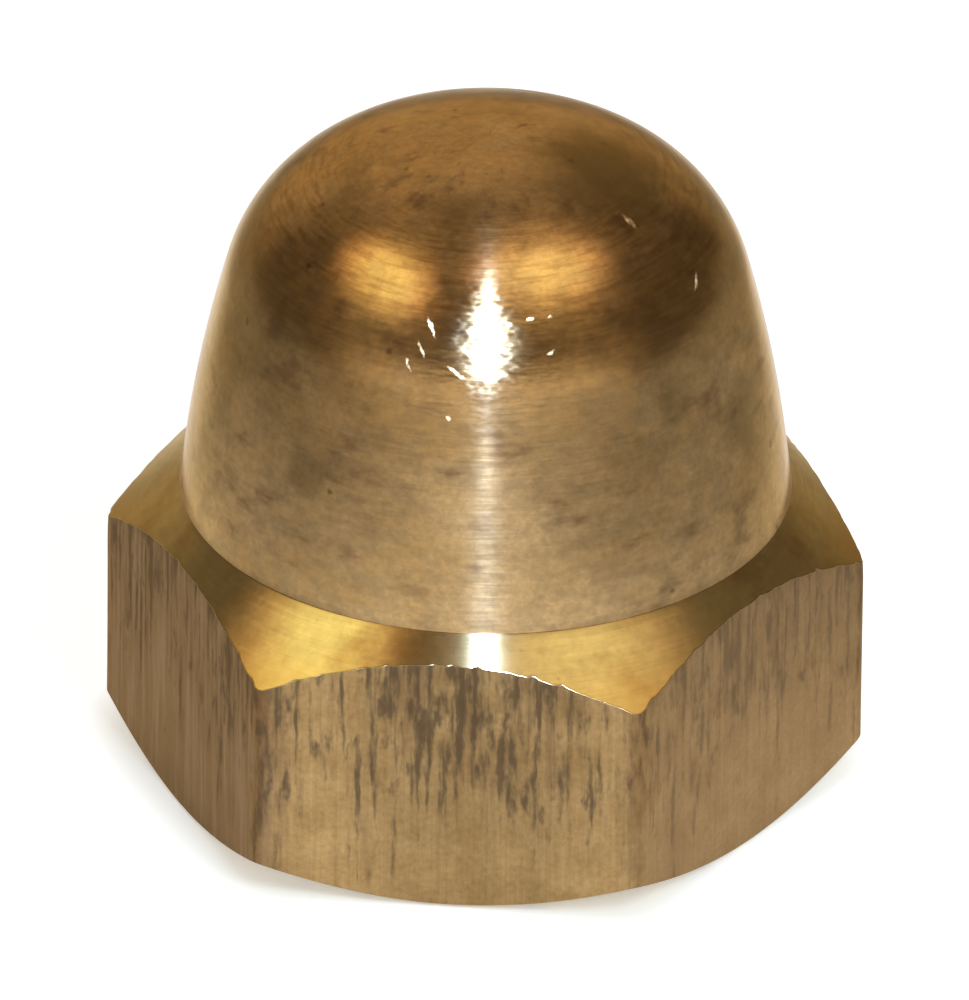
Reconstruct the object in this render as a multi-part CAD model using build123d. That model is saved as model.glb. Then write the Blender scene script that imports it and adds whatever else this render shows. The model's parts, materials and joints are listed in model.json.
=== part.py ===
from build123d import *

import os
from math import asin, cos, degrees, hypot, pi, radians, sin, tan

# Cap nut turned from one length of hexagon bar, in millimetres and degrees.
# The seat face lies on Z = 0, centred on the origin, and the nut's axis is +Z.
# Two flats face -Y and +Y, and two corners lie on the X axis.

# Hexagon bar
across_flats = 17.0
flat_count = 6
bar_corner_radius = 0.45

# Seat end: a cone turns the corners off and leaves a round seat just inside the flats
seat_step = 0.1
seat_cone_angle = 33.0

# Dome end: a cone runs out and down from the foot of the dome, and ends in an arch on each flat
dome_step = 0.68
dome_base_height = 7.67
arch_cone_angle = 41.0

# Dome: a long side arc, a tight shoulder arc and a broad crown arc, each tangent to the next
overall_height = 17.76
side_lean = 5.1
side_radius = 35.2
shoulder_radius = 4.69
crown_half_angle = 23.4

# Blind hole, drilled to the tapping size, with a countersunk mouth
thread_diameter = 10.0
thread_pitch = 1.5
crown_wall = 2.2
drill_point_angle = 118.0
mouth_lip = 0.4
mouth_angle = 90.0

# How far the turned section reaches past the corners of the bar
bar_overrun = 1.0

flat_distance = across_flats / 2
dome_base_radius = flat_distance - dome_step


def hexagon_bar():
    """The drawn bar, with its slightly rounded corners, cut to the height of the nut."""
    hexagon = RegularPolygon(flat_distance, flat_count, major_radius=False)
    section = fillet(hexagon.vertices(), bar_corner_radius)
    return extrude(section, overall_height)


def dome_arcs():
    """The dome's outline from its foot to the crown, as three tangent arcs.

    The side arc leaves the foot at a set lean, and the crown arc is centred on the axis and covers
    a set angle. The side arc ends, and the shoulder arc takes over, at the one angle that brings the
    top of the crown to the overall height: with k = tan(crown angle / 2), it is where
    reach * (sin + k * cos) makes up the height left above the side arc's centre.
    """
    lean = radians(side_lean)
    crown_angle = radians(crown_half_angle)
    crown_rise = tan(crown_angle / 2)
    side_x = dome_base_radius - side_radius * cos(lean)
    side_z = dome_base_height - side_radius * sin(lean)
    reach = side_radius - shoulder_radius
    height_left = overall_height - shoulder_radius - side_z - crown_rise * side_x
    side_end = asin(height_left / (reach * hypot(1, crown_rise))) - crown_angle / 2

    shoulder_x = side_x + reach * cos(side_end)
    shoulder_z = side_z + reach * sin(side_end)
    crown_radius = shoulder_radius + shoulder_x / sin(crown_angle)
    crown_z = overall_height - crown_radius

    shoulder_start = degrees(side_end)
    crown_start = degrees(pi / 2 - crown_angle)
    side_sweep = shoulder_start - side_lean
    shoulder_sweep = crown_start - shoulder_start
    side = CenterArc((side_x, side_z), side_radius, side_lean, side_sweep)
    shoulder = CenterArc((shoulder_x, shoulder_z), shoulder_radius, shoulder_start, shoulder_sweep)
    crown = CenterArc((0, crown_z), crown_radius, crown_start, crown_half_angle)
    return [side, shoulder, crown]


def body_outline():
    """The section's outline from the hole's mouth, across the seat and both cones, to the dome."""
    bar_reach = flat_distance / cos(pi / flat_count) + bar_overrun
    seat_radius = flat_distance - seat_step
    seat_rise = (bar_reach - seat_radius) * tan(radians(seat_cone_angle))
    arch_drop = (bar_reach - dome_base_radius) * tan(radians(arch_cone_angle))
    return Polyline(
        (mouth_radius, 0),
        (seat_radius, 0),
        (bar_reach, seat_rise),
        (bar_reach, dome_base_height - arch_drop),
        (dome_base_radius, dome_base_height),
    )


def hole_outline():
    """The section's outline down the axis to the drill point, and along the bore to its mouth."""
    point_tip = overall_height - crown_wall
    bore_end = point_tip - bore_radius / tan(radians(drill_point_angle / 2))
    mouth_depth = (mouth_radius - bore_radius) / tan(radians(mouth_angle / 2))
    return Polyline(
        (0, overall_height),
        (0, point_tip),
        (bore_radius, bore_end),
        (bore_radius, mouth_depth),
        (mouth_radius, 0),
    )


bore_radius = (thread_diameter - thread_pitch) / 2
mouth_radius = thread_diameter / 2 + mouth_lip

section_edges = body_outline().edges() + dome_arcs() + hole_outline().edges()
turned = revolve(Plane.XZ * make_face(section_edges), Axis.Z)
cap_nut = turned & hexagon_bar()

os.makedirs("parts", exist_ok=True)
export_step(cap_nut, "parts/cap_nut.step")
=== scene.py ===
import json

import bmesh
import bpy
import numpy as np
from mathutils import Matrix, Vector


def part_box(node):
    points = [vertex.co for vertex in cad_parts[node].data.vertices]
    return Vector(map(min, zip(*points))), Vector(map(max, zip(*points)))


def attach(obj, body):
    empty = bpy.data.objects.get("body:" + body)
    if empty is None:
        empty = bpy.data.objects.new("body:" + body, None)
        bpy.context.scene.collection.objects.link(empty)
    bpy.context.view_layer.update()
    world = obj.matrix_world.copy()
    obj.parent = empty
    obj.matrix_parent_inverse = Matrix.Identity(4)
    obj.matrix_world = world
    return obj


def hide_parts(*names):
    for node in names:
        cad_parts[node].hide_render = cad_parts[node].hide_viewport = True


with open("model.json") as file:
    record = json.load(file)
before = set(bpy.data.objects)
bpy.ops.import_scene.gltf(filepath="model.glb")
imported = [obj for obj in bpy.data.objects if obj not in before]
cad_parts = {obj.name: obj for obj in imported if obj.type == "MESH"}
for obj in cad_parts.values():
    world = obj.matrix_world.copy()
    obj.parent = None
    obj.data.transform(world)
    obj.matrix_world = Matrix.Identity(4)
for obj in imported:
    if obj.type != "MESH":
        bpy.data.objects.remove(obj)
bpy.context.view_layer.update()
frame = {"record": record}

# Cap nut turned from brass hexagon bar. Its lengths are in millimetres, and its mesh ends in metres.
MM = 0.001
TURN = 2 * np.pi
NODE = "cap_nut"
box_low, box_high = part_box(NODE)
mounts = {mount["name"]: mount for mount in frame["record"]["mounts"]}

# Hexagon bar, and its outline along one flat with half a corner at each end
FLAT_COUNT = 6
FLAT_DISTANCE = (box_high.y - box_low.y) / 2 / MM
BAR_CORNER_RADIUS = 0.45
HALF_SECTOR = np.pi / FLAT_COUNT
FLAT_HALF_WIDTH = (FLAT_DISTANCE - BAR_CORNER_RADIUS) * np.tan(HALF_SECTOR)
FLAT_END_ANGLE = np.arctan(FLAT_HALF_WIDTH / FLAT_DISTANCE)
SIDE_LENGTH = 2 * FLAT_HALF_WIDTH + 2 * HALF_SECTOR * BAR_CORNER_RADIUS

# Seat end and dome end: the cones that bound the flats, with angles from the seat's plane
SEAT_SET_IN = 0.1
SEAT_RADIUS = FLAT_DISTANCE - SEAT_SET_IN
SEAT_CONE = np.radians(33.0)
DOME_SET_IN = 0.68
DOME_BASE_RADIUS = FLAT_DISTANCE - DOME_SET_IN
DOME_BASE_HEIGHT = 7.67
ARCH_CONE = np.radians(41.0)

# Dome: side, shoulder and crown arcs
OVERALL_HEIGHT = box_high.z / MM
SIDE_LEAN = np.radians(5.1)
SIDE_RADIUS = 35.2
SHOULDER_RADIUS = 4.69
CROWN_HALF_ANGLE = np.radians(23.4)

# Drilled hole
BORE_RADIUS = mounts["thread"]["dims"]["r_mm"]
BORE_LENGTH = mounts["thread"]["dims"]["length_mm"]
MOUTH_RADIUS = 5.4
MOUTH_DEPTH = MOUTH_RADIUS - BORE_RADIUS
BORE_END = MOUTH_DEPTH + BORE_LENGTH
POINT_HALF_ANGLE = np.radians(59.0)
POINT_TIP = BORE_END + BORE_RADIUS / np.tan(POINT_HALF_ANGLE)

# Thread: its crest, flanks and root are shares of the pitch, and it fades out beyond its end
THREAD_PITCH = 1.5
THREAD_RADIUS = 5.0
THREAD_END = 10.6
THREAD_FADE = 1.6
CREST_SHARE = 1 / 4
FLANK_SHARE = 5 / 16
ROOT_SHARE = 1 / 8
ROOT_START = CREST_SHARE + FLANK_SHARE
FALL_START = ROOT_START + ROOT_SHARE

# How worked metal edges are broken; a torn edge is rounded by a share of its tear
ARCH_EDGE_BREAK = 0.008
TEAR_ROUNDING = 0.25
SEAT_EDGE_BREAK = 0.08
SEAT_RIM_SHARE = 0.4
SEAT_RIM_BREAK = 0.01
FOOT_FILLET = 0.02

# Grooves that the drawing die left in the flats, and tears along the flats' upper edge. Widths are in radians
# round the axis, and depths are the shape and scale of a gamma draw. The other pairs are the least and most.
SEED = 11
GROOVE_COUNT = 160
GROOVE_WIDTHS = (0.008, 0.02)
GROOVE_DEPTHS = (1.6, 0.006)
GROOVE_MIDDLES = (1.0, 7.0)
GROOVE_LENGTHS = (0.8, 3.5)
TEAR_COUNT = 300
TEAR_WIDTHS = (0.006, 0.016)
TEAR_DEPTHS = (1.5, 0.0065)
TEAR_LENGTHS = (0.15, 0.5)
DEEPEST_TEAR = 0.075

# Mesh density: coarse columns on the turned skin and in the hole, and so many fine ones to each on the bar.
# The coarse and fine columns meet on the seat, between two rings, and at the dome's foot.
FLAT_COLUMNS = 34
CORNER_COLUMNS = 2
FINENESS = 4
DOME_STEPS = (30, 30, 14)
FLAT_STEPS = 24
FLAT_CROWDING = 0.8
EDGE_STEPS = 3
CONE_STEPS = 6
POINT_STEPS = 4
SEAT_SEAM_RADIUS = SEAT_RADIUS - 1.2
SEAT_RING_RADIUS = SEAT_RADIUS - 1.0
CONE_FIRST_STEP = 0.03
WELD_DISTANCE = 0.0005
SLIVER_LENGTH = 0.0002
SHARP_ANGLE = np.radians(32)

# The ways that the metal was worked, each with its own finish
FINISHES = ("hole", "thread", "seat", "flats", "arch", "dome")

# Bare brass, and what has settled on it, as linear red, green and blue
EDGE_TINT = (0.88, 0.75, 0.57, 1)
DOME_PALE = (0.53, 0.35, 0.168, 1)
DOME_BROWN = (0.4, 0.245, 0.096, 1)
DOME_STRAND = (0.17, 0.075, 0.02, 1)
# The stains' brown, which in one place also paints shade
DOME_STAIN_AND_SHADE = (0.115, 0.077, 0.03, 1)
DOME_SMUDGE = (0.17, 0.095, 0.05, 1)
DOME_SPOT = (0.11, 0.065, 0.03, 1)
SCRATCH_BRIGHT = (0.8, 0.54, 0.26, 1)
CONE_CLEAN = (0.46, 0.35, 0.152, 1)
CONE_DULL = (0.35, 0.22, 0.08, 1)
CONE_TIP = (0.44, 0.27, 0.08, 1)
CONE_SPECK = (0.25, 0.11, 0.03, 1)
SEAT_BRIGHT = (0.6, 0.43, 0.19, 1)
SEAT_STAINED = (0.36, 0.23, 0.09, 1)
FLAT_PALE = (0.37, 0.226, 0.088, 1)
FLAT_BROWN = (0.28, 0.163, 0.058, 1)
# Dirt on one flat, darkened further as painted shade
FLAT_DIRT_AND_SHADE = (0.135, 0.074, 0.038, 1)
FLAT_GREY = (0.24, 0.16, 0.102, 1)
FLAT_RUBBED = (0.33, 0.22, 0.13, 1)
FLAT_STREAK = (0.15, 0.082, 0.036, 1)
FLAT_CORNER = (0.15, 0.075, 0.028, 1)
FLAT_SCALE = (0.078, 0.043, 0.018, 1)
HOLE_BRIGHT = (0.58, 0.41, 0.18, 1)
HOLE_DULL = (0.4, 0.27, 0.11, 1)

# How the dome's finish changes with the height above the seat
CROWN_HEIGHTS = (10.0, 15.0)
STRANDS_BY_HEIGHT = ((15.2, 0.08), (15.9, 0.4), (16.8, 0.4), (17.3, 0.08))
ROUGHNESS_BY_HEIGHT = ((9.0, 0.16), (13.7, 0.12), (15.1, 0.18), (16.4, 0.155), (17.0, 0.135))
SPREAD_BY_HEIGHT = ((13.8, 1.0), (15.1, 0.93), (16.4, 1.0), (17.1, 0.95), (17.6, 0.3))

# The knock in the dome's shoulder, towards the camera: how far below the top, and its dents by distance
KNOCK_BELOW_TOP = 2.6
KNOCK_REACH = (0.4, 1.3)
DENTS_BY_DISTANCE = ((0.3, 1.0), (1.6, 0.25), (3.0, 0.0))

# Stains on the dome, one of them also painted shade: degrees round from the camera's side, how far below the
# top, reach and strength
DOME_STAINS_AND_SHADE = (
    (-57, 4.0, 2.6, 0.3),
    (-62, 0.9, 1.4, 0.4),
    (-15, 0.5, 1.0, 0.35),
    (78, 0.5, 3.0, 0.85),
    (76, 1.6, 1.7, 0.4),
    (50, 2.5, 2.6, 0.25),
    (22, 6.0, 3.4, 0.16),
    (43, 4.9, 0.8, 0.45),
    (62, 6.2, 1.5, 0.4),
    (-38, 6.5, 1.0, 0.45),
    # Partly painted shade: this stain low on the far left also dims the rim highlight there
    (-74, 8.0, 2.6, 0.35),
    (150, 3.0, 2.4, 0.5),
    (-140, 5.5, 1.8, 0.5),
)

# Scratches in the dome: degrees round from the camera's side, how far below the top, degrees of lean, length
# and width
SCRATCH_DEPTH = 0.2
SCRATCHES = (
    (-14.0, 2.3, -62, 0.75, 0.13),
    (-15.5, 2.8, -65, 0.6, 0.13),
    (-18.0, 3.2, -62, 0.55, 0.13),
    (-7.0, 3.25, -35, 0.7, 0.13),
    (-8.0, 4.4, -40, 0.2, 0.13),
    (11.0, 2.1, 5, 0.3, 0.13),
    (16.0, 2.1, 20, 0.2, 0.13),
    (15.0, 2.85, 25, 0.35, 0.13),
    (55.0, 1.0, 85, 0.7, 0.24),
    (61.0, 2.5, 43, 0.8, 0.2),
    (170.0, 3.4, 40, 0.5, 0.13),
    (-120.0, 2.4, -50, 0.4, 0.13),
)

# Places along the bar's outline, in flats round from the corner on +X: the middle of the dirtiest flat, which
# is also painted darker as shade, with how the dirt and painted shade go with the distance from there, and
# the place where most scale hangs
DIRT_AND_SHADE_PLACE = 3.5 * SIDE_LENGTH
DIRT_AND_SHADE_BY_DISTANCE = (
    (0.45 * SIDE_LENGTH, 1.0),
    (0.6 * SIDE_LENGTH, 0.0),
    (1.4 * SIDE_LENGTH, 0.0),
    (1.55 * SIDE_LENGTH, 0.25),
)
GREY_DISTANCES = (1.45 * SIDE_LENGTH, 1.6 * SIDE_LENGTH)
SCALE_PLACE = 4.5 * SIDE_LENGTH + 0.8
SCALE_REACH = (1.0, 4.5)

# Camera, in metres, and where it stands: degrees round from the flat that faces -Y, and above the floor
ACROSS_FLATS = 2 * FLAT_DISTANCE * MM
CAMERA_ROUND = 6.07
CAMERA_ABOVE = 29.9
CAMERA_ROLL = 0.6
CAMERA_DISTANCE = 58.6 * ACROSS_FLATS
CAMERA_PIXELS_ACROSS_FLATS = 664.0
CAMERA_SHIFT_PIXELS = -1.0
IMAGE_HEIGHT_PIXELS = 1000.0
SENSOR_WIDTH = 36.0
AIM = Vector((0, 0, 0.418 * ACROSS_FLATS))

# Floor, in metres, and the pool of it that the metal shows as white, in millimetres from the nut: a painted
# pool of light, glowing only in the metal's reflections, with a painted contact shadow close to the nut
FLOOR_HALF = 1.5
FLOOR_DROP = 0.02 * MM
FLOOR_LIFT = 0.83
FLOOR_SHADE_REACH = 1.2 * MM
FLOOR_PALE = (0.82, 0.86, 0.9, 1)
FLOOR_PALER = (0.84, 0.88, 0.92, 1)
FLOOR_GLOW = (0.92, 0.97, 1, 1)
POOL_SHIFT = 2.0
POOL_SIDES = (14, 31)
POOL_BEHIND = (-95, -45)
POOL_AHEAD = ((12, 1.0), (45, 0.86), (90, 0.8), (260, 0.0))

# Room: how bright it is at the sides, overhead, at the wall behind the nut and low in front
WALL_ROUND = -174.0
WALL_ABOVE = 15.0
SIDES_BRIGHT = 0.178
OVERHEAD_BRIGHT = 0.35
WALL_BRIGHT = 0.52
FRONT_BRIGHT = 1.3
ROOM_WARM = (1.0, 0.785, 0.54, 1)
FRONT_PALE = (1.0, 0.95, 0.85, 1)


def direction(round_degrees, above_degrees):
    """The unit vector from the nut towards a place round from the camera's side and above the floor."""
    turn = np.radians(CAMERA_ROUND + round_degrees)
    up = np.radians(above_degrees)
    return Vector((np.sin(turn) * np.cos(up), -np.cos(turn) * np.cos(up), np.sin(up)))


def column_angles():
    """Angles round the axis for the fine columns of the mesh, from the corner on +X round to it again.

    On each flat the columns are evenly spaced along the flat, and at each corner along its arc.
    """
    along = np.linspace(-np.tan(FLAT_END_ANGLE), np.tan(FLAT_END_ANGLE), FLAT_COLUMNS * FINENESS + 1)
    corner = np.linspace(FLAT_END_ANGLE, HALF_SECTOR, CORNER_COLUMNS * FINENESS + 1)[1:]
    sector = np.concatenate([-corner[::-1][1:], np.arctan(along), corner])
    middles = HALF_SECTOR + 2 * HALF_SECTOR * np.arange(FLAT_COUNT)
    return np.concatenate([[0.0], (middles[:, None] + sector[None, :]).ravel()])


def hexagon_reach(angle):
    """Distance from the axis to the bar's outline: a flat's distance over the cosine of the angle from
    its normal, and near a corner the far crossing of the ray with the corner's circle."""
    off_flat = np.abs((angle % (2 * HALF_SECTOR)) - HALF_SECTOR)
    off_corner = HALF_SECTOR - off_flat
    centre = (FLAT_DISTANCE - BAR_CORNER_RADIUS) / np.cos(HALF_SECTOR)
    inside = np.maximum(BAR_CORNER_RADIUS ** 2 - (centre * np.sin(off_corner)) ** 2, 0)
    on_corner = centre * np.cos(off_corner) + np.sqrt(inside)
    on_flat = FLAT_DISTANCE / np.cos(off_flat)
    return np.where(off_flat <= FLAT_END_ANGLE, on_flat, on_corner)


def straight(start, end, steps):
    """Rows spaced evenly along straight lines from start to end, both (r, z) per column; start included."""
    share = np.arange(steps)[:, None, None] / steps
    return start[None] * (1 - share) + end[None] * share


def rounded(start, corner, end, steps):
    """Rows round a broken edge: a parabola from start to end that is tangent to both sides at them."""
    share = np.arange(steps)[:, None, None] / steps
    return start[None] * (1 - share) ** 2 + 2 * corner[None] * share * (1 - share) + end[None] * share ** 2


def towards(start, end, distance):
    """The points that lie the given distance from start on the way to end."""
    way = end - start
    return start + way * (distance / np.linalg.norm(way, axis=1, keepdims=True))


def arc(centre, radius, start, end, steps):
    """Rows along an arc about centre, (r, z) = centre + radius * (cos, sin), start included."""
    turn = start + (end - start) * np.arange(steps) / steps
    return np.stack([centre[0] + radius * np.cos(turn), centre[1] + radius * np.sin(turn)], axis=1)


def circle(columns, radius, height):
    """The same (r, z) for each of the columns."""
    return np.stack([np.full(columns, radius), np.full(columns, height)], axis=1)


def dome_profile():
    """The dome's (r, z) from its foot to the top: the side arc leaves the foot at its lean, the crown is
    centred on the axis, and the shoulder arc touches both, so that the top is at full height."""
    side_steps, shoulder_steps, crown_steps = DOME_STEPS
    rise = np.tan(CROWN_HALF_ANGLE / 2)
    side = np.array([DOME_BASE_RADIUS - SIDE_RADIUS * np.cos(SIDE_LEAN),
                     DOME_BASE_HEIGHT - SIDE_RADIUS * np.sin(SIDE_LEAN)])
    reach = SIDE_RADIUS - SHOULDER_RADIUS
    height_left = OVERALL_HEIGHT - SHOULDER_RADIUS - side[1] - rise * side[0]
    side_end = np.arcsin(height_left / (reach * np.hypot(1, rise))) - CROWN_HALF_ANGLE / 2
    shoulder = side + reach * np.array([np.cos(side_end), np.sin(side_end)])
    crown_radius = SHOULDER_RADIUS + shoulder[0] / np.sin(CROWN_HALF_ANGLE)
    crown = np.array([0.0, OVERALL_HEIGHT - crown_radius])
    crown_start = np.pi / 2 - CROWN_HALF_ANGLE
    return np.concatenate([
        arc(side, SIDE_RADIUS, SIDE_LEAN, side_end, side_steps),
        arc(shoulder, SHOULDER_RADIUS, side_end, crown_start, shoulder_steps),
        arc(crown, crown_radius, crown_start, np.pi / 2, crown_steps),
        [[0.0, OVERALL_HEIGHT]],
    ])


def thread_reach(angle, height):
    """Distance from the axis to the tapped wall: an internal V thread with flat crests and roots, whose
    depth fades out at its end, and at the mouth the countersink's cone where that is wider."""
    phase = (height / THREAD_PITCH - angle / TURN) % 1
    rise = np.clip((phase - CREST_SHARE) / FLANK_SHARE, 0, 1)
    fall = np.clip((phase - FALL_START) / FLANK_SHARE, 0, 1)
    fade = np.clip((THREAD_END + THREAD_FADE - height) / THREAD_FADE, 0, 1)
    cut = (THREAD_RADIUS - BORE_RADIUS) * (rise - fall) * fade
    return np.maximum(BORE_RADIUS + cut, MOUTH_RADIUS - height)


def thread_rows(angle):
    """Rows of the tapped wall from its end down to the mouth. They follow the thread's helix, so that its
    crests and roots stay sharp, and are held within the wall's two ends."""
    breaks = np.array([
        0.0,
        CREST_SHARE / 2,
        CREST_SHARE,
        CREST_SHARE + FLANK_SHARE / 2,
        ROOT_START,
        FALL_START,
        FALL_START + FLANK_SHARE / 2,
    ])
    top = THREAD_END + THREAD_FADE
    bottom = MOUTH_RADIUS - THREAD_RADIUS
    turns = np.arange(np.floor(bottom / THREAD_PITCH) - 1, np.ceil(top / THREAD_PITCH))
    starts = np.sort((turns[:, None] + breaks[None, :]).ravel())[::-1]
    height = np.clip((starts[:, None] + angle[None, :] / TURN) * THREAD_PITCH, bottom, top)
    return np.stack([thread_reach(angle[None, :], height), height], axis=2)


def bells(angle, place, width, depth):
    """Bell curves round the axis, each at its place, with its width and depth: a value per angle and bell."""
    gap = (angle[..., None] - place + np.pi) % TURN - np.pi
    return depth * np.exp(-(gap / width) ** 2)


def die_grooves(angle, height):
    """How deep the drawing die scored the flats: a sum of narrow upright grooves, each a bell curve round
    the axis that fades out above and below its own stretch of the height."""
    dice = np.random.default_rng(SEED)
    place = dice.uniform(0, TURN, GROOVE_COUNT)
    width = dice.uniform(*GROOVE_WIDTHS, GROOVE_COUNT)
    depth = dice.gamma(*GROOVE_DEPTHS, GROOVE_COUNT)
    middle = dice.uniform(*GROOVE_MIDDLES, GROOVE_COUNT)
    length = dice.uniform(*GROOVE_LENGTHS, GROOVE_COUNT)
    along = np.exp(-((height[..., None] - middle) / length) ** 4)
    return (bells(angle, place, width, depth) * along).sum(axis=-1)


def edge_tears(angle, below):
    """How far the turning tool tore the flats' upper edge: narrow nicks close together round the bar, which
    run out a little way below the edge."""
    dice = np.random.default_rng(SEED + 1)
    place = dice.uniform(0, TURN, TEAR_COUNT)
    width = dice.uniform(*TEAR_WIDTHS, TEAR_COUNT)
    depth = dice.gamma(*TEAR_DEPTHS, TEAR_COUNT)
    length = dice.uniform(*TEAR_LENGTHS, TEAR_COUNT)
    along = np.exp(-(below[..., None] / length) ** 2)
    return np.minimum((bells(angle, place, width, depth) * along).sum(axis=-1), DEEPEST_TEAR)


def hole_rows(angle):
    """The blind hole from the drill's point down to the seat: point, plain bore, thread and countersink."""
    columns = len(angle)
    thread = thread_rows(angle)
    rim = circle(columns, MOUTH_RADIUS, 0)
    bore_end = circle(columns, BORE_RADIUS, BORE_END)
    return [
        ("hole", straight(circle(columns, 0, POINT_TIP), bore_end, POINT_STEPS)),
        ("hole", straight(bore_end, thread[0], 2)),
        ("thread", thread),
        ("thread", straight(thread[-1], rim, 2)[1:]),
        ("seat", straight(rim, circle(columns, SEAT_SEAM_RADIUS, 0), 2)),
    ]


def arch_height(radius):
    """Height of the cone between flats and dome: the dome's foot, less the way out times the slope."""
    return DOME_BASE_HEIGHT - (radius - DOME_BASE_RADIUS) * np.tan(ARCH_CONE)


def seat_height(radius):
    """Height of the flat cone at the seat's rim: the way out from the seat times its slope."""
    return (radius - SEAT_RADIUS) * np.tan(SEAT_CONE)


def bar_rows(angle):
    """The hexagon bar with both its turned ends: the seat's outer ring, its cone, the flats and the cone to
    the dome. Each end's cone meets the flats where their scored surface reaches it."""
    columns = len(angle)
    reach = hexagon_reach(angle)
    seat_edge = circle(columns, SEAT_RADIUS, 0)
    foot = circle(columns, DOME_BASE_RADIUS, DOME_BASE_HEIGHT)

    def scored(height):
        below = np.maximum(arch_height(reach) - height, 0)
        around = np.broadcast_to(angle, height.shape)
        return reach - die_grooves(around, height) - edge_tears(around, below)

    low_radius = scored(seat_height(reach))
    low_edge = np.stack([low_radius, seat_height(low_radius)], axis=1)
    top_radius = scored(arch_height(reach))
    top_edge = np.stack([top_radius, arch_height(top_radius)], axis=1)
    low_break = towards(low_edge, top_edge, SEAT_EDGE_BREAK)
    rounding = ARCH_EDGE_BREAK + TEAR_ROUNDING * (reach - top_radius)[:, None]
    top_break = towards(top_edge, low_edge, rounding)
    cone_break = towards(top_edge, foot, rounding)
    cone_start = towards(top_edge, foot, 2 * rounding + CONE_FIRST_STEP)
    share = np.linspace(0, 1, FLAT_STEPS + 1)[1:-1, None] ** FLAT_CROWDING
    heights = low_break[:, 1] * (1 - share) + top_break[:, 1] * share
    flats = np.stack([scored(heights), heights], axis=2)

    seat_low = towards(seat_edge, circle(columns, 0, 0), SEAT_EDGE_BREAK)
    seat_rim = SEAT_RIM_SHARE * (low_radius - SEAT_RADIUS)[:, None] + SEAT_RIM_BREAK
    seat_high = towards(seat_edge, low_edge, seat_rim)
    return [
        ("seat", straight(circle(columns, SEAT_RING_RADIUS, 0), seat_low, EDGE_STEPS)),
        ("seat", rounded(seat_low, seat_edge, seat_high, EDGE_STEPS)),
        ("seat", straight(seat_high, low_edge, 2)),
        ("flats", straight(low_edge, low_break, 2)),
        ("flats", low_break[None]),
        ("flats", flats),
        ("arch", rounded(top_break, top_edge, cone_break, EDGE_STEPS)),
        ("arch", cone_break[None]),
        ("arch", straight(cone_start, foot, CONE_STEPS)),
    ]


def dome_rows(columns):
    """The dome from the small fillet at its foot to its top: its profile, the same in each of the columns."""
    rows = np.repeat(dome_profile()[:, None, :], columns, axis=1)
    foot = rows[0]
    outer = circle(columns, DOME_BASE_RADIUS + 1, arch_height(DOME_BASE_RADIUS + 1))
    fillet_start = towards(foot, outer, FOOT_FILLET)
    fillet_end = towards(foot, rows[1], FOOT_FILLET)
    return [
        ("dome", rounded(fillet_start, foot, fillet_end, EDGE_STEPS)),
        ("dome", fillet_end[None]),
        ("dome", rows[1:]),
    ]


def joined(bands):
    """The bands' rows as one grid, and the number of each row's finish."""
    grid = np.concatenate([rows for _, rows in bands])
    finish = np.concatenate([np.full(len(rows), FINISHES.index(name)) for name, rows in bands])
    return grid, finish


def run_down(grid, start):
    """Distance along each column's profile, from start at the last row back to the first."""
    steps = np.linalg.norm(np.diff(grid, axis=0), axis=2)
    back = np.cumsum(steps[::-1], axis=0)[::-1]
    return start + np.concatenate([back, np.zeros((1, grid.shape[1]))])


def placed(grid, angle):
    """Grid points (r, z), each at its column's angle: (r cos, r sin, z)."""
    spots = np.stack([grid[..., 0] * np.cos(angle), grid[..., 0] * np.sin(angle), grid[..., 1]], axis=2)
    return spots.reshape(-1, 3)


def paired(first, second):
    """The two coordinates of each grid point in a UV map."""
    return np.stack(np.broadcast_arrays(first, second), axis=2).reshape(-1, 2)


def numbered(grid, first):
    """A number for each grid point, counted row by row from the first."""
    return first + np.arange(grid.shape[0] * grid.shape[1]).reshape(grid.shape[:2])


def faces_between(index):
    """Quads between each row of vertex numbers and the next."""
    lower = index[:-1]
    upper = index[1:]
    quads = np.stack([lower[:, :-1], lower[:, 1:], upper[:, 1:], upper[:, :-1]], axis=-1)
    return quads.reshape(-1, 4)


def faces_joining(coarse, fine):
    """Faces from one coarse row to one fine row: two coarse corners and all the fine ones that they span."""
    span = np.arange(FINENESS, -1, -1)
    ends = FINENESS * np.arange(len(coarse) - 1)[:, None] + span[None, :]
    return np.concatenate([coarse[:-1, None], coarse[1:, None], fine[ends]], axis=1)


def close_up(mesh):
    """Welds the seam and the poles, turns the faces outwards and keeps the real edges sharp."""
    work = bmesh.new()
    work.from_mesh(mesh)
    bmesh.ops.remove_doubles(work, verts=work.verts, dist=WELD_DISTANCE * MM)
    bmesh.ops.dissolve_degenerate(work, edges=work.edges, dist=SLIVER_LENGTH * MM)
    bmesh.ops.recalc_face_normals(work, faces=work.faces)
    work.to_mesh(mesh)
    work.free()
    mesh.shade_smooth()
    mesh.set_sharp_from_angle(angle=SHARP_ANGLE)


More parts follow.
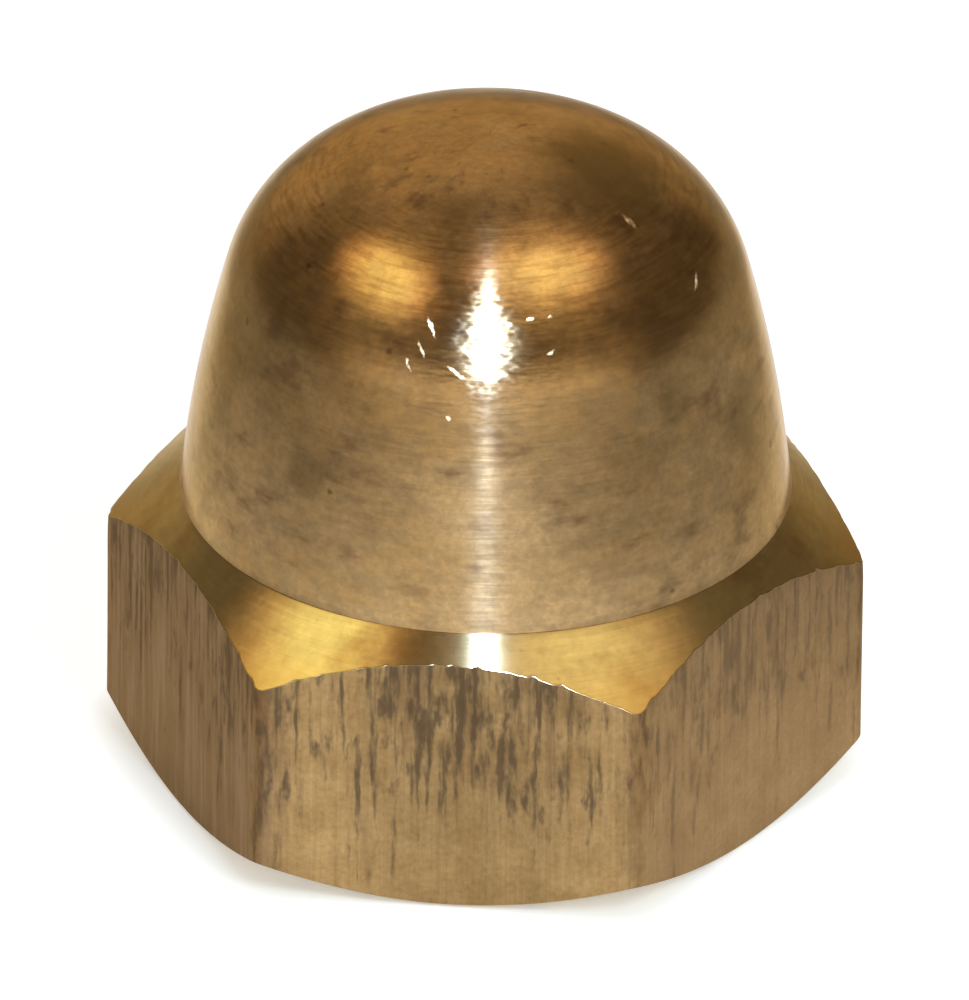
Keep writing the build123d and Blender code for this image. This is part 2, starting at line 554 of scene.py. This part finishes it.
def skin_mesh(name):
    """A closed mesh of the nut's skin. Each grid point (r, z) at an angle stands at (r cos, r sin, z); two
    UV maps follow the turning (turns, run of the profile) and the drawing (run of the bar's outline, depth
    below the arch)."""
    fine = column_angles()
    coarse = fine[::FINENESS]
    hole, hole_finish = joined(hole_rows(coarse))
    bar, bar_finish = joined(bar_rows(fine))
    dome, dome_finish = joined(dome_rows(len(coarse)))
    points = np.concatenate([placed(hole, coarse), placed(bar, fine), placed(dome, coarse)]) * MM

    dome_run = run_down(dome, 0.0)
    gap = np.linalg.norm(dome[0, 0] - bar[-1], axis=1)
    bar_run = run_down(bar, dome_run[0, 0] + gap)
    on_seat = bar_finish == FINISHES.index("seat")
    bar_run[on_seat] = bar[on_seat][..., 0]
    hole_run = run_down(hole, SEAT_SEAM_RADIUS)
    turning = np.concatenate([
        paired(coarse / TURN, hole_run),
        paired(fine / TURN, bar_run),
        paired(coarse / TURN, dome_run),
    ])

    corner = hexagon_reach(fine)[:, None] * np.stack([np.cos(fine), np.sin(fine)], axis=1)
    outline = np.concatenate([[0], np.cumsum(np.linalg.norm(np.diff(corner, axis=0), axis=1))])
    arch_row = np.argmax(bar_finish == FINISHES.index("arch"))
    bar_below = bar[arch_row, :, 1][None] - bar[..., 1]
    drawing = np.concatenate([
        paired(outline[::FINENESS], hole[..., 1]),
        paired(outline, bar_below),
        paired(outline[::FINENESS], dome[..., 1]),
    ])

    hole_index = numbered(hole, 0)
    bar_index = numbered(bar, hole_index.size)
    dome_index = numbered(dome, hole_index.size + bar_index.size)
    quads = np.concatenate([faces_between(index) for index in (hole_index, bar_index, dome_index)])
    seat_strip = faces_joining(hole_index[-1], bar_index[0])
    cone_strip = faces_joining(dome_index[0, ::-1], bar_index[-1, ::-1])
    finish = np.concatenate([
        np.repeat(hole_finish[:-1], hole.shape[1] - 1),
        np.repeat(bar_finish[:-1], bar.shape[1] - 1),
        np.repeat(dome_finish[:-1], dome.shape[1] - 1),
        np.full(len(seat_strip), FINISHES.index("seat")),
        np.full(len(cone_strip), FINISHES.index("arch")),
    ])

    mesh = bpy.data.meshes.new(name)
    mesh.from_pydata(points, [], quads.tolist() + seat_strip.tolist() + cone_strip.tolist())
    mesh.polygons.foreach_set("material_index", finish.astype(np.int32))
    loops = np.concatenate([quads.ravel(), seat_strip.ravel(), cone_strip.ravel()])
    for map_name, coordinates in (("turning", turning), ("drawing", drawing)):
        layer = mesh.uv_layers.new(name=map_name)
        layer.uv.foreach_set("vector", coordinates[loops].astype(np.float32).ravel())
    close_up(mesh)
    return mesh


def add_node(tree, kind, inputs=None, **settings):
    """Adds a node to the tree, with its settings, and sets or links each of the inputs given."""
    node = tree.nodes.new(kind)
    for key, value in settings.items():
        setattr(node, key, value)
    for key, value in (inputs or {}).items():
        if isinstance(value, bpy.types.NodeSocket):
            tree.links.new(value, node.inputs[key])
        else:
            node.inputs[key].default_value = value
    return node


def calculate(tree, operation, first, second=0.0, clamp=False):
    """One sum on two values."""
    inputs = {0: first, 1: second}
    return add_node(tree, "ShaderNodeMath", inputs, operation=operation, use_clamp=clamp).outputs[0]


def calculate_vector(tree, operation, *vectors):
    """One sum on vectors whose result is a vector."""
    inputs = dict(enumerate(vectors))
    return add_node(tree, "ShaderNodeVectorMath", inputs, operation=operation).outputs["Vector"]


def measure(tree, operation, *vectors):
    """One sum on vectors whose result is a value: LENGTH, DISTANCE or DOT_PRODUCT."""
    inputs = dict(enumerate(vectors))
    return add_node(tree, "ShaderNodeVectorMath", inputs, operation=operation).outputs["Value"]


def part_of(tree, vector, axis):
    """The vector's part along X, Y or Z."""
    return add_node(tree, "ShaderNodeSeparateXYZ", {0: vector}).outputs[axis]


def stretch(tree, vector, x, y, z):
    """The vector with each part times its own factor."""
    return calculate_vector(tree, "MULTIPLY", vector, (x, y, z))


def noise(tree, vector, scale, detail=3.0, roughness=0.5, distortion=0.0):
    """Cloudy noise from 0 to 1."""
    inputs = {
        "Vector": vector,
        "Scale": scale,
        "Detail": detail,
        "Roughness": roughness,
        "Distortion": distortion,
    }
    return add_node(tree, "ShaderNodeTexNoise", inputs).outputs["Fac"]


def between(tree, value, low, high, to_low=0.0, to_high=1.0):
    """Eases a value from to_low, at low, to to_high, at high."""
    inputs = {"Value": value, "From Min": low, "From Max": high, "To Min": to_low, "To Max": to_high}
    return add_node(tree, "ShaderNodeMapRange", inputs, interpolation_type="SMOOTHSTEP").outputs["Result"]


def ramp(tree, value, points):
    """A value that runs straight from one point (place, result) to the next, and is level beyond the ends."""
    result = points[0][1]
    for (low, start), (high, end) in zip(points, points[1:]):
        inputs = {"Value": value, "From Min": low, "From Max": high, "To Min": 0.0, "To Max": end - start}
        step = add_node(tree, "ShaderNodeMapRange", inputs, clamp=True).outputs["Result"]
        result = calculate(tree, "ADD", step, result)
    return result


def weighted(tree, parts):
    """The sum of values, each times its weight."""
    total = None
    for value, weight in parts:
        part = calculate(tree, "MULTIPLY", value, weight)
        total = part if total is None else calculate(tree, "ADD", total, part)
    return total


def largest(tree, values):
    """The largest of the values."""
    result = values[0]
    for value in values[1:]:
        result = calculate(tree, "MAXIMUM", result, value)
    return result


def blend_colours(tree, share, first, second, blend_type="MIX"):
    """The first colour, giving way to the second by share."""
    inputs = {0: share, 6: first, 7: second}
    return add_node(tree, "ShaderNodeMix", inputs, data_type="RGBA", blend_type=blend_type).outputs[2]


def shade(tree, colour, value, dark, light):
    """The colour made darker or lighter: times dark where the value is 0, and times light where it is 1."""
    return blend_colours(tree, 1.0, colour, between(tree, value, 0, 1, dark, light), "MULTIPLY")


def bump(tree, parts):
    """Relief as the sum of heights, each with its depth in millimetres where it is 1."""
    inputs = {"Height": weighted(tree, parts), "Strength": 1.0, "Distance": MM}
    return add_node(tree, "ShaderNodeBump", inputs).outputs["Normal"]


def uv_map(tree, name):
    """The coordinates of one of the mesh's UV maps."""
    return add_node(tree, "ShaderNodeUVMap", uv_map=name).outputs["UV"]


def object_place(tree):
    """Object coordinates in millimetres."""
    place = add_node(tree, "ShaderNodeTexCoord").outputs["Object"]
    return stretch(tree, place, 1 / MM, 1 / MM, 1 / MM)


def turned_place(tree):
    """Where a point is on the turned skin: round the axis on a circle of radius 1, and along the profile in
    millimetres."""
    around = calculate_vector(tree, "NORMALIZE", stretch(tree, object_place(tree), 1, 1, 0))
    run = part_of(tree, uv_map(tree, "turning"), "Y")
    along = add_node(tree, "ShaderNodeCombineXYZ", {"Z": run}).outputs[0]
    return calculate_vector(tree, "ADD", around, along)


def jostled(tree, place, scale, reach, detail):
    """The place moved about by noise, by up to about half the reach each way."""
    inputs = {"Vector": place, "Scale": scale, "Detail": detail}
    wander = add_node(tree, "ShaderNodeTexNoise", inputs).outputs["Color"]
    wander = calculate_vector(tree, "SUBTRACT", wander, (0.5, 0.5, 0.5))
    return calculate_vector(tree, "MULTIPLY_ADD", wander, (reach, reach, reach), place)


def new_metal(name):
    """An empty metal: its node tree and its shader, joined to the output."""
    material = bpy.data.materials.new(name)
    material.use_nodes = True
    tree = material.node_tree
    shader = tree.nodes["Principled BSDF"]
    shader.inputs["Metallic"].default_value = 1.0
    shader.inputs["Specular Tint"].default_value = EDGE_TINT
    return material, tree, shader


def finish_metal(tree, shader, colour, roughness, relief):
    """Joins a metal's colour, roughness and relief to its shader."""
    tree.links.new(colour, shader.inputs["Base Color"])
    tree.links.new(roughness, shader.inputs["Roughness"])
    tree.links.new(bump(tree, relief), shader.inputs["Normal"])


def lathe_finish(tree, shader):
    """Draws highlights out along the profile, as fine tool rings do; returns the rings from 0 to 1."""
    tangent = add_node(tree, "ShaderNodeTangent", direction_type="UV_MAP", uv_map="turning").outputs[0]
    shader.inputs["Anisotropic Rotation"].default_value = 0.25
    tree.links.new(tangent, shader.inputs["Tangent"])
    return noise(tree, stretch(tree, turned_place(tree), 4.0, 4.0, 11.0), 1.0, detail=3.0, roughness=0.65)


def dome_spot(round_degrees, below_top):
    """A point of the dome, round from the camera's side and so far below its top, with the ways round the
    dome and up its profile there."""
    profile = dome_profile()
    height = OVERALL_HEIGHT - below_top
    step = 0.05
    radius, radius_above = np.interp([height, height + step], profile[:, 1], profile[:, 0])
    out = direction(round_degrees, 0)
    point = out * radius + Vector((0, 0, height))
    up = (out * (radius_above - radius) + Vector((0, 0, step))).normalized()
    return point, direction(round_degrees + 90, 0), up


def scratch(tree, place, round_degrees, below_top, lean_degrees, length, width):
    """A short scratch in the dome, 1 on it and 0 elsewhere: a narrow ball, so long and wide, that leans from
    the way round."""
    middle, around, up = dome_spot(round_degrees, below_top)
    lean = np.radians(lean_degrees)
    along = around * np.cos(lean) + up * np.sin(lean)
    out = around.cross(up)
    turn = Matrix((along, out.cross(along), out)).transposed().to_euler()
    size = (length / 2, width / 2, SCRATCH_DEPTH)
    inputs = {"Vector": place, "Location": middle, "Rotation": turn, "Scale": size}
    inside = add_node(tree, "ShaderNodeMapping", inputs, vector_type="TEXTURE").outputs[0]
    return between(tree, measure(tree, "LENGTH", inside), 0.2, 1.0, 1.0, 0.0)


def dome_stain_and_shade(tree, place, round_degrees, below_top, reach, strength):
    """A soft stain on the dome, of this strength in its middle and 0 beyond its reach; one of them is also
    painted shade.
    """
    middle = dome_spot(round_degrees, below_top)[0]
    return between(tree, measure(tree, "DISTANCE", place, middle), 0.2 * reach, reach, strength, 0.0)


def dome_brass(name):
    """The turned dome: dull brass, browner towards the top, with a mottled film, brown stains (one also
    painted shade, low on the far left), smudges and small spots. The shoulder has been rubbed and knocked in
    front, which breaks up the highlight there."""
    material, tree, shader = new_metal(name)
    ring_place = turned_place(tree)
    place = object_place(tree)
    height = part_of(tree, place, "Z")
    rings = lathe_finish(tree, shader)
    clouds = noise(tree, stretch(tree, place, 0.8, 0.8, 1.1), 0.4, detail=5.0, roughness=0.65, distortion=0.3)
    mottle = noise(tree, stretch(tree, place, 1.0, 1.0, 1.5), 1.3, detail=4.0, roughness=0.6)
    grain = noise(tree, place, 5.0, detail=3.0, roughness=0.7)

    # Film and the brown strands round the crown
    crown = between(tree, height, *CROWN_HEIGHTS)
    film = between(tree, weighted(tree, ((clouds, 0.6), (mottle, 0.4), (crown, 0.12))), 0.4, 0.72)
    colour = blend_colours(tree, film, DOME_PALE, DOME_BROWN)
    colour = shade(tree, colour, between(tree, mottle, 0.25, 0.75), dark=0.82, light=1.15)
    colour = shade(tree, colour, grain, dark=0.78, light=1.22)
    colour = shade(tree, colour, rings, dark=0.94, light=1.06)
    strand = noise(tree, stretch(tree, ring_place, 5.0, 5.0, 6.5), 1.0, detail=3.0, roughness=0.6)
    strand = between(tree, strand, 0.42, 0.66)
    strand = calculate(tree, "MULTIPLY", strand, ramp(tree, height, STRANDS_BY_HEIGHT))
    colour = blend_colours(tree, strand, colour, DOME_STRAND)

    # Stains, one of them also painted shade, smudges and spots
    loose = jostled(tree, place, scale=0.9, reach=1.8, detail=5.0)
    stain_and_shade = largest(tree, [dome_stain_and_shade(tree, loose, *row) for row in DOME_STAINS_AND_SHADE])
    colour = blend_colours(tree, stain_and_shade, colour, DOME_STAIN_AND_SHADE)
    smudge = noise(tree, stretch(tree, ring_place, 5.0, 5.0, 1.3), 1.0, detail=3.0, roughness=0.55)
    patch = noise(tree, place, 0.55, detail=2.0)
    smudges = between(tree, weighted(tree, ((smudge, 1.0), (patch, 0.35))), 0.72, 0.98, 0.0, 0.75)
    colour = blend_colours(tree, smudges, colour, DOME_SMUDGE)
    torn = jostled(tree, place, scale=6.0, reach=0.16, detail=2.0)
    cells = add_node(tree, "ShaderNodeTexVoronoi", {"Vector": torn, "Scale": 0.7, "Randomness": 1.0})
    spots = between(tree, cells.outputs["Distance"], 0.02, 0.1, 0.7, 0.0)
    colour = blend_colours(tree, spots, colour, DOME_SPOT)

    # Scratches, bright because they throw the light about
    nick = largest(tree, [scratch(tree, torn, *row) for row in SCRATCHES])
    nick = calculate(tree, "MULTIPLY", nick, between(tree, grain, 0.3, 0.6, 0.3, 1.0))
    colour = blend_colours(tree, nick, colour, SCRATCH_BRIGHT)

    # How the highlight is drawn out, and broken up at the knock
    knock = dome_spot(0.0, KNOCK_BELOW_TOP)[0]
    away = measure(tree, "DISTANCE", place, knock)
    core = between(tree, away, *KNOCK_REACH, 1.0, 0.0)
    rub = ramp(tree, height, ROUGHNESS_BY_HEIGHT)
    worn = between(tree, rings, 0.3, 0.7, -0.02, 0.02)
    roughness = weighted(tree, ((rub, 1.0), (film, 0.02), (worn, 1.0), (nick, 0.55), (core, 0.1)))
    spread = ramp(tree, height, SPREAD_BY_HEIGHT)
    spread = calculate(tree, "SUBTRACT", spread, weighted(tree, ((nick, 1.0), (core, 0.12))), clamp=True)
    tree.links.new(spread, shader.inputs["Anisotropic"])
    dents = noise(tree, stretch(tree, place, 2.2, 2.2, 6.0), 1.0, detail=1.0)
    dents = calculate(tree, "MULTIPLY", dents, ramp(tree, away, DENTS_BY_DISTANCE))
    finish_metal(tree, shader, colour, roughness, ((dents, 0.032), (rings, 0.0012)))
    return material


def cone_brass(name):
    """The turned cone above the flats: cleaner and brighter than the dome, with a little brown in the rings
    and out at the corners."""
    material, tree, shader = new_metal(name)
    place = object_place(tree)
    rings = lathe_finish(tree, shader)
    clouds = noise(tree, place, 0.5, detail=6.0, roughness=0.65)
    grain = noise(tree, place, 3.0, detail=4.0, roughness=0.6)
    speck = noise(tree, place, 2.2, detail=3.0, roughness=0.6)
    colour = blend_colours(tree, between(tree, clouds, 0.45, 0.75), CONE_CLEAN, CONE_DULL)
    colour = shade(tree, colour, grain, dark=0.82, light=1.18)
    colour = shade(tree, colour, rings, dark=0.88, light=1.12)
    out = measure(tree, "LENGTH", stretch(tree, place, 1, 1, 0))
    tip = between(tree, out, FLAT_DISTANCE, FLAT_DISTANCE + 1.2, 0.0, 0.6)
    colour = blend_colours(tree, tip, colour, CONE_TIP)
    colour = blend_colours(tree, between(tree, speck, 0.68, 0.76, 0.0, 0.6), colour, CONE_SPECK)
    roughness = between(tree, clouds, 0.3, 0.8, 0.19, 0.23)
    shader.inputs["Anisotropic"].default_value = 1.0
    finish_metal(tree, shader, colour, roughness, ((rings, 0.002),))
    return material


def seat_brass(name):
    """The faced seat: bright rings from facing, rubbed and a little stained."""
    material, tree, shader = new_metal(name)
    rings = lathe_finish(tree, shader)
    clouds = noise(tree, object_place(tree), 0.6, detail=6.0, roughness=0.65)
    colour = blend_colours(tree, between(tree, clouds, 0.4, 0.75), SEAT_BRIGHT, SEAT_STAINED)
    colour = shade(tree, colour, rings, dark=0.85, light=1.15)
    roughness = between(tree, clouds, 0.3, 0.8, 0.26, 0.38)
    shader.inputs["Anisotropic"].default_value = 0.7
    finish_metal(tree, shader, colour, roughness, ((rings, 0.004),))
    return material


def drawn_brass(name):
    """Cold-drawn flats: a dull tan skin with fine upright die lines, and brown scale left in soft broad
    streaks, long broken lines, ragged blots and along the corners, most of it hanging from the arches. One
    flat is dirty and also painted darker as shade, and those away from it are greyer, with fainter scale."""
    material, tree, shader = new_metal(name)
    drawn = uv_map(tree, "drawing")
    outline = part_of(tree, drawn, "X")
    below = part_of(tree, drawn, "Y")
    height = part_of(tree, object_place(tree), "Z")
    bar_place = add_node(tree, "ShaderNodeCombineXYZ", {"X": outline, "Y": height}).outputs[0]
    wobble = noise(tree, bar_place, 1.6, detail=2.0)
    wavy = weighted(tree, ((outline, 1.0), (wobble, 0.1)))
    shifted = add_node(tree, "ShaderNodeCombineXYZ", {"X": wavy, "Y": height}).outputs[0]

    # Patterns drawn out along the bar, from fine hairs to soft blots
    hair = noise(tree, stretch(tree, bar_place, 8.0, 0.16, 1), 1.0, detail=3.0, roughness=0.65)
    long = noise(tree, stretch(tree, shifted, 3.6, 0.2, 1), 1.0, detail=2.0)
    broad = noise(tree, stretch(tree, shifted, 2.2, 0.24, 1), 1.0, detail=3.0, roughness=0.65)
    rag = noise(tree, stretch(tree, shifted, 5.0, 1.1, 1), 1.0, detail=3.0, roughness=0.6)
    blot = noise(tree, stretch(tree, shifted, 1.9, 0.8, 1), 1.0, detail=3.0, roughness=0.6)
    group = noise(tree, stretch(tree, bar_place, 0.45, 0.3, 1), 1.0, detail=2.0)
    skin = noise(tree, bar_place, 0.8, detail=6.0, roughness=0.6)
    grain = noise(tree, bar_place, 6.0, detail=3.0, roughness=0.7)

    # Where the scale is: more of it under the arches, in groups and near one place
    hang = between(tree, below, 2.0, 6.5, 0.04, -0.14)
    crowd = between(tree, group, 0.3, 0.65, -0.06, 0.03)
    near = calculate(tree, "ABSOLUTE", calculate(tree, "SUBTRACT", outline, SCALE_PLACE))
    near = between(tree, near, *SCALE_REACH, 1.0, 0.0)
    give = weighted(tree, ((hang, 1.0), (crowd, 1.0), (near, 0.04)))
    lines = between(tree, weighted(tree, ((long, 1.0), (rag, 0.5), (give, 1.0))), 0.75, 0.97)
    streaks = between(tree, weighted(tree, ((broad, 1.0), (rag, 0.3), (give, 1.0))), 0.64, 0.92, 0.0, 0.6)
    blots = between(tree, weighted(tree, ((blot, 1.0), (rag, 0.4), (give, 1.0))), 0.74, 0.96)
    scale = calculate(tree, "MAXIMUM", lines, blots)
    corner = between(tree, calculate(tree, "PINGPONG", outline, SIDE_LENGTH / 2), 0.0, 0.6, 1.0, 0.0)
    corner = weighted(tree, ((corner, 0.3), (rag, 0.5), (hang, 0.6)))
    corner = between(tree, corner, 0.3, 0.66, 0.0, 0.6)

    # Dirty and greyer flats; the dirt is partly painted shade
    dirt_and_shade_away = calculate(tree, "ABSOLUTE", calculate(tree, "SUBTRACT", outline, DIRT_AND_SHADE_PLACE))
    dirt_and_shade = ramp(tree, dirt_and_shade_away, DIRT_AND_SHADE_BY_DISTANCE)
    greyer = between(tree, dirt_and_shade_away, *GREY_DISTANCES)
    faint = between(tree, greyer, 0.0, 1.0, 1.0, 0.5)
    rubbed = calculate(tree, "MULTIPLY", between(tree, long, 0.34, 0.52, 0.28, 0.0), dirt_and_shade)
    shown = calculate(tree, "MULTIPLY", scale, between(tree, dirt_and_shade, 0, 1, 0.8, 0.6))

    colour = blend_colours(tree, between(tree, skin, 0.3, 0.7), FLAT_PALE, FLAT_BROWN)
    colour = shade(tree, colour, hair, dark=0.82, light=1.18)
    colour = shade(tree, colour, grain, dark=0.76, light=1.24)
    colour = shade(tree, colour, near, dark=1.06, light=0.88)
    # Dirt that also stands for painted shade: darkest on the flat on the left, a little on the flats far from
    # it
    colour = blend_colours(tree, calculate(tree, "MULTIPLY", dirt_and_shade, 0.81), colour, FLAT_DIRT_AND_SHADE)
    colour = blend_colours(tree, calculate(tree, "MULTIPLY", greyer, 0.3), colour, FLAT_GREY)
    colour = blend_colours(tree, rubbed, colour, FLAT_RUBBED)
    colour = blend_colours(tree, calculate(tree, "MULTIPLY", streaks, faint), colour, FLAT_STREAK)
    colour = blend_colours(tree, corner, colour, FLAT_CORNER)
    colour = blend_colours(tree, calculate(tree, "MULTIPLY", shown, faint), colour, FLAT_SCALE)
    roughness = between(tree, scale, 0, 1, 0.46, 0.6)
    finish_metal(tree, shader, colour, roughness, ((hair, 0.007), (skin, 0.012), (rag, -0.004)))
    return material


def cut_brass(name, line_count):
    """Freshly cut brass inside the hole, with faint tool lines, so many to the millimetre."""
    material, tree, shader = new_metal(name)
    lines = noise(tree, stretch(tree, turned_place(tree), 1.0, 1.0, line_count), 1.0, detail=3.0)
    clouds = noise(tree, object_place(tree), 0.5, detail=5.0)
    colour = blend_colours(tree, clouds, HOLE_BRIGHT, HOLE_DULL)
    roughness = between(tree, lines, 0.2, 0.8, 0.22, 0.4)
    finish_metal(tree, shader, colour, roughness, ((lines, 0.003),))
    return material


def build_nut():
    """The nut: one closed skin with a finish for each way that it was worked."""
    nut = bpy.data.objects.new("domed_cap_nut", skin_mesh("domed_cap_nut"))
    bpy.context.scene.collection.objects.link(nut)
    metals = {
        "hole": cut_brass("drilled_brass", 3.0),
        "thread": cut_brass("tapped_brass", 2.0),
        "seat": seat_brass("faced_seat_brass"),
        "flats": drawn_brass("drawn_flat_brass"),
        "arch": cone_brass("turned_cone_brass"),
        "dome": dome_brass("turned_dome_brass"),
    }
    for finish in FINISHES:
        nut.data.materials.append(metals[finish])
    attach(nut, "root")
    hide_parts(NODE)


def build_camera():
    """A long lens that fits the nut in the frame as in the photograph."""
    data = bpy.data.cameras.new("camera")
    data.sensor_width = SENSOR_WIDTH
    field = IMAGE_HEIGHT_PIXELS / CAMERA_PIXELS_ACROSS_FLATS * ACROSS_FLATS
    data.lens = data.sensor_width * CAMERA_DISTANCE / field
    data.shift_x = CAMERA_SHIFT_PIXELS / IMAGE_HEIGHT_PIXELS
    data.clip_start = 0.01
    data.clip_end = 100.0
    camera = bpy.data.objects.new("camera", data)
    bpy.context.scene.collection.objects.link(camera)
    back = direction(0, CAMERA_ABOVE)
    look = (-back).to_track_quat("-Z", "Y").to_matrix().to_4x4()
    turned = look @ Matrix.Rotation(np.radians(CAMERA_ROLL), 4, "Z")
    camera.rotation_mode = "QUATERNION"
    camera.rotation_quaternion = turned.to_quaternion()
    camera.location = AIM + back * CAMERA_DISTANCE
    bpy.context.scene.camera = camera


def floor_white(name):
    """The floor's pale matt skin. It glows to white where it is seen, and the metal shows a white pool of it
    round the nut that reaches out towards the camera and fades to the sides: a painted pool of light. Close
    to the nut's foot the glow is lowered by ambient occlusion, a painted contact shadow."""
    material = bpy.data.materials.new(name)
    material.use_nodes = True
    material.cycles.emission_sampling = "NONE"
    tree = material.node_tree
    shader = tree.nodes["Principled BSDF"]
    place = object_place(tree)
    colour = blend_colours(tree, noise(tree, place, 1.0), FLOOR_PALE, FLOOR_PALER)
    tree.links.new(colour, shader.inputs["Base Color"])
    shader.inputs["Roughness"].default_value = 0.9
    shader.inputs["Specular IOR Level"].default_value = 0.0

    # Painted pool of light: the glow that the metal's reflections show, fading to the sides and behind
    across = measure(tree, "DOT_PRODUCT", place, direction(90, 0))
    across = calculate(tree, "ABSOLUTE", calculate(tree, "ADD", across, POOL_SHIFT))
    ahead = measure(tree, "DOT_PRODUCT", place, direction(0, 0))
    sides = between(tree, across, *POOL_SIDES, 1, 0)
    pool = calculate(tree, "MULTIPLY", sides, between(tree, ahead, *POOL_BEHIND, 0, 1))
    pool = calculate(tree, "MULTIPLY", pool, ramp(tree, ahead, POOL_AHEAD))
    path = add_node(tree, "ShaderNodeLightPath")
    mirrored = calculate(tree, "ADD", path.outputs["Is Glossy Ray"], path.outputs["Is Transmission Ray"])
    mirrored = calculate(tree, "MULTIPLY", mirrored, pool)
    seen = calculate(tree, "ADD", path.outputs["Is Camera Ray"], mirrored, clamp=True)
    # Painted contact shadow: ambient occlusion lowers the glow close to the nut
    inputs = {"Distance": FLOOR_SHADE_REACH}
    open_sky = add_node(tree, "ShaderNodeAmbientOcclusion", inputs, samples=2).outputs["AO"]
    lift = calculate(tree, "MULTIPLY", seen, FLOOR_LIFT)
    lift = calculate(tree, "MULTIPLY", lift, between(tree, open_sky, 0.2, 1.0, 0.4, 1.0))
    shader.inputs["Emission Color"].default_value = FLOOR_GLOW
    tree.links.new(lift, shader.inputs["Emission Strength"])
    return material


def build_floor():
    """A broad square floor, just under the seat."""
    mesh = bpy.data.meshes.new("floor")
    corners = [(x * FLOOR_HALF, y * FLOOR_HALF, -FLOOR_DROP) for x, y in ((-1, -1), (1, -1), (1, 1), (-1, 1))]
    mesh.from_pydata(corners, [], [(0, 1, 2, 3)])
    mesh.materials.append(floor_white("floor_white"))
    floor = bpy.data.objects.new("floor", mesh)
    bpy.context.scene.collection.objects.link(floor)


def build_light(name, round_degrees, above_degrees, distance, size, brightness, colour):
    """An elliptical lamp of this width and depth in metres, turned to the nut; brightness 1 looks white."""
    data = bpy.data.lights.new(name, "AREA")
    data.shape = "ELLIPSE"
    data.size, data.size_y = size
    data.energy = brightness * np.pi * (np.pi / 4 * size[0] * size[1])
    data.color = colour
    lamp = bpy.data.objects.new(name, data)
    bpy.context.scene.collection.objects.link(lamp)
    back = direction(round_degrees, above_degrees)
    lamp.rotation_mode = "QUATERNION"
    lamp.rotation_quaternion = (-back).to_track_quat("-Z", "Y")
    lamp.location = back * distance + AIM
    return lamp


def soften(lamp, rim_colour):
    """Lets a lamp fade from its middle to nothing at its rim, and turn to the rim's colour on the way."""
    lamp.data.use_nodes = True
    tree = lamp.data.node_tree
    spot = add_node(tree, "ShaderNodeNewGeometry").outputs["Parametric"]
    away = measure(tree, "DISTANCE", spot, (0.5, 0.5, 0.0))
    emission = tree.nodes["Emission"]
    colour = blend_colours(tree, between(tree, away, 0.12, 0.36), (1, 1, 1, 1), rim_colour)
    tree.links.new(colour, emission.inputs["Color"])
    tree.links.new(between(tree, away, 0.1, 0.5, 1.0, 0.0), emission.inputs["Strength"])


def build_lamps():
    """Two soft warm lamps at the sides and a small strong one in front, for the metal alone, and a broad one
    for the floor alone."""
    left = build_light("warm_left", round_degrees=-79, above_degrees=56, distance=0.3, size=(0.34, 0.23),
                       brightness=2.4, colour=(1.0, 1.0, 0.56))
    soften(left, rim_colour=(1.0, 0.64, 0.6, 1))
    right = build_light("warm_right", round_degrees=70, above_degrees=72, distance=0.3, size=(0.35, 0.33),
                        brightness=2.2, colour=(1.0, 0.97, 0.66))
    soften(right, rim_colour=(1.0, 0.7, 0.65, 1))
    small = build_light("small_front", round_degrees=0.3, above_degrees=41.0, distance=0.8,
                        size=(0.034, 0.02), brightness=17200.0, colour=(0.37, 0.58, 1.1))
    for lamp in (left, right, small):
        lamp.visible_diffuse = False
    soft = build_light("floor_soft", round_degrees=40, above_degrees=45, distance=0.8, size=(0.4, 0.4),
                       brightness=6.37, colour=(0.76, 0.89, 1.0))
    soft.visible_glossy = False


def build_world():
    """A dim, warm room: dark at the sides, paler overhead, and palest at the wall behind the nut and low in
    front of it."""
    world = bpy.data.worlds.new("room")
    bpy.context.scene.world = world
    world.use_nodes = True
    tree = world.node_tree
    way = add_node(tree, "ShaderNodeTexCoord").outputs["Generated"]
    height = part_of(tree, way, "Z")
    facing = measure(tree, "DOT_PRODUCT", way, direction(WALL_ROUND, WALL_ABOVE))
    front = measure(tree, "DOT_PRODUCT", way, direction(0, 0))
    room = between(tree, height, 0.4, 0.95, SIDES_BRIGHT, OVERHEAD_BRIGHT)
    wall = between(tree, facing, 0.6, 0.98, 0.0, WALL_BRIGHT)
    low = calculate(tree, "MULTIPLY", between(tree, height, 0.02, 0.46, 1, 0), between(tree, front, 0.2, 0.9))
    strength = weighted(tree, ((room, 1.0), (wall, 1.0), (low, FRONT_BRIGHT)))
    background = tree.nodes["Background"]
    tree.links.new(blend_colours(tree, low, ROOM_WARM, FRONT_PALE), background.inputs["Color"])
    tree.links.new(strength, background.inputs["Strength"])


def main():
    build_nut()
    build_camera()
    build_floor()
    build_world()
    build_lamps()
    bpy.context.scene.view_settings.view_transform = "Standard"
    bpy.context.view_layer.update()


main()
